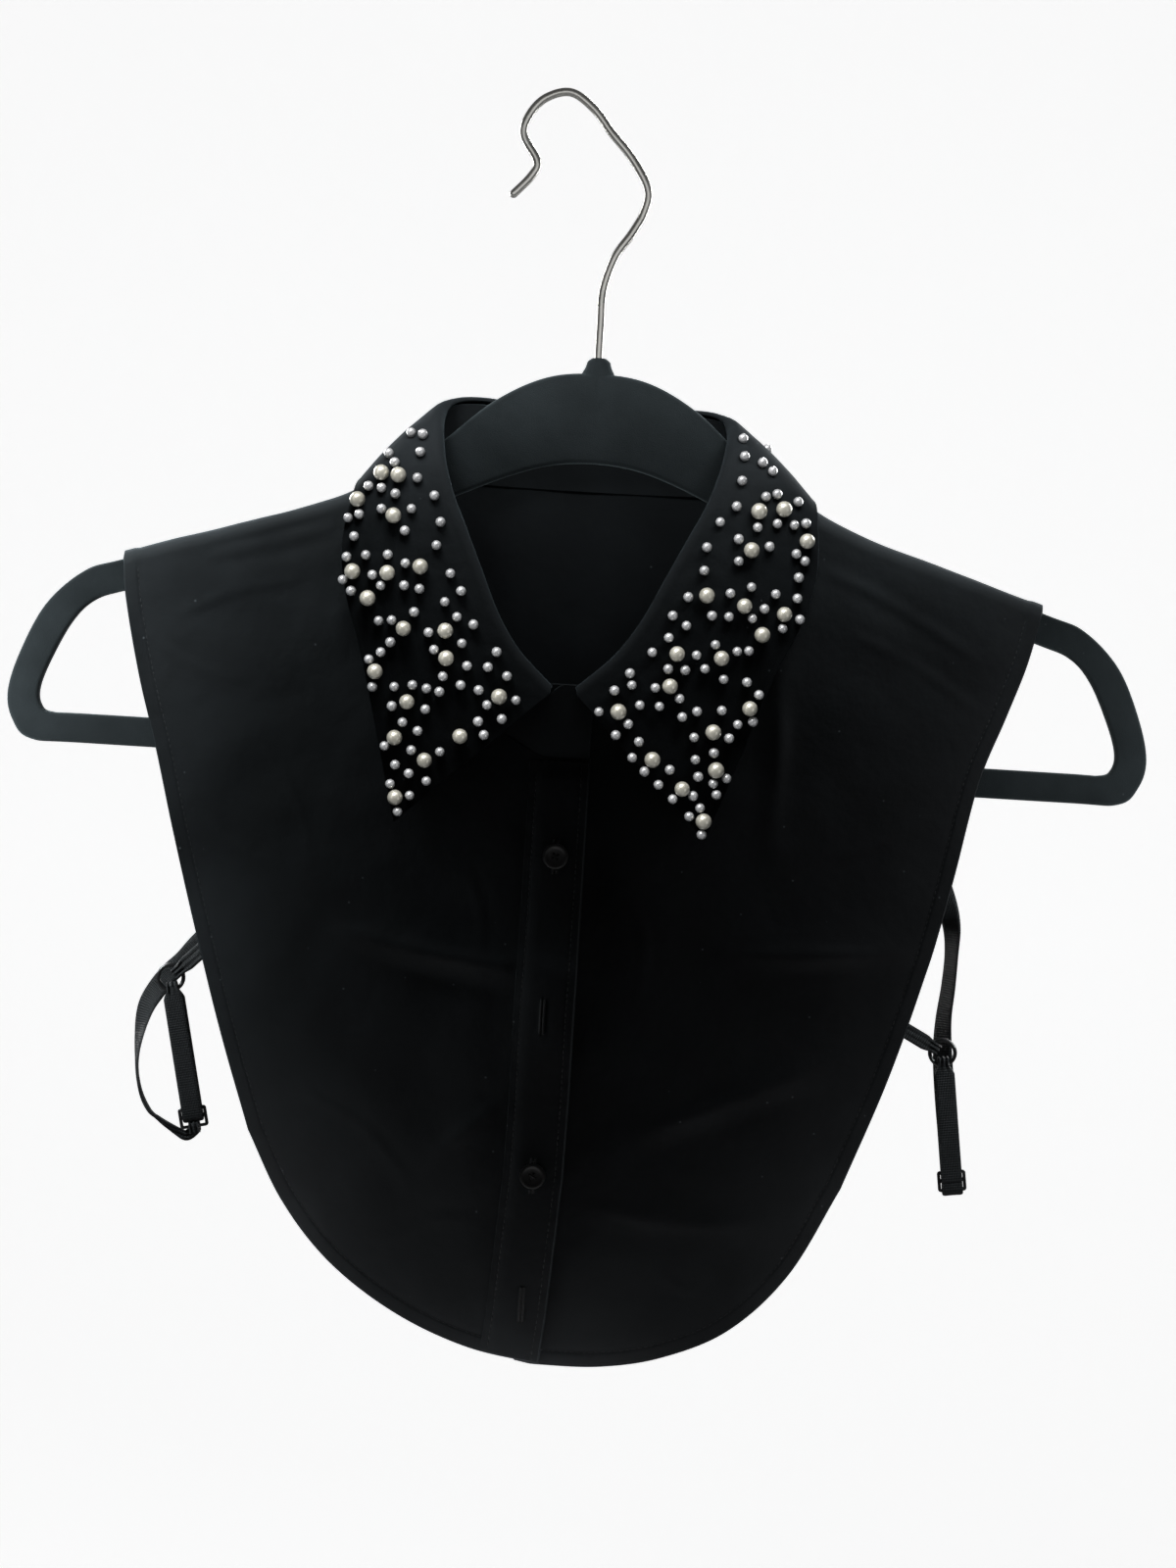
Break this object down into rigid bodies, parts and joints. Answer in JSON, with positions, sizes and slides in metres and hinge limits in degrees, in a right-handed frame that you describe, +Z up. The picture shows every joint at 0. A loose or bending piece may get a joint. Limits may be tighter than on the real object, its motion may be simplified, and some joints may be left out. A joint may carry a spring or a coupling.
{
  "type": "detachable shirt collar on a clothes hanger",
  "caption": "Sleeveless black dickey with a bead-trimmed pointed collar, button placket and side straps, hanging on a flocked clothes hanger with a metal hook.",
  "frame": {"origin": "inside top of the hanger's hook, where a rail carries it", "axes": "+Z up, the garment's front faces -Y, +X towards the viewer's right when looking at the front"},
  "size_m": [0.444, 0.039, 0.4956],
  "materials": {
    "black_poplin": "matte woven cotton",
    "pearl_trimmed_poplin": "matte woven cotton with pearl beads",
    "black_flock": "short velvet flock on plastic",
    "bright_chrome": "polished plated wire",
    "gloss_button": "glossy",
    "black_elastic": "knitted elastic, slightly shiny",
    "black_nylon": "semi-gloss moulded"
  },
  "bodies": {
    "root": {"back": "black_poplin", "button_low": "gloss_button", "button_middle": "gloss_button", "button_top": "gloss_button", "collar_fall": "pearl_trimmed_poplin", "collar_stand": "black_poplin", "front_left": "black_poplin", "front_right": "black_poplin", "hanger_hook": "bright_chrome", "placket": "black_poplin", "strap_long_left": "black_elastic", "strap_long_right": "black_elastic", "strap_loop_left": "black_elastic", "strap_loop_right": "black_elastic", "strap_ring_left": "black_nylon", "strap_ring_right": "black_nylon", "strap_slider_left": "black_nylon", "strap_slider_right": "black_nylon", "strap_tab_left": "black_elastic", "strap_tab_right": "black_elastic", "hanger_dome": "black_flock", "hanger_arm_left": "black_flock", "hanger_arm_right": "black_flock", "hanger_end_left": "black_flock", "hanger_end_right": "black_flock", "hanger_bar": "black_flock"}
  },
  "joints": []
}
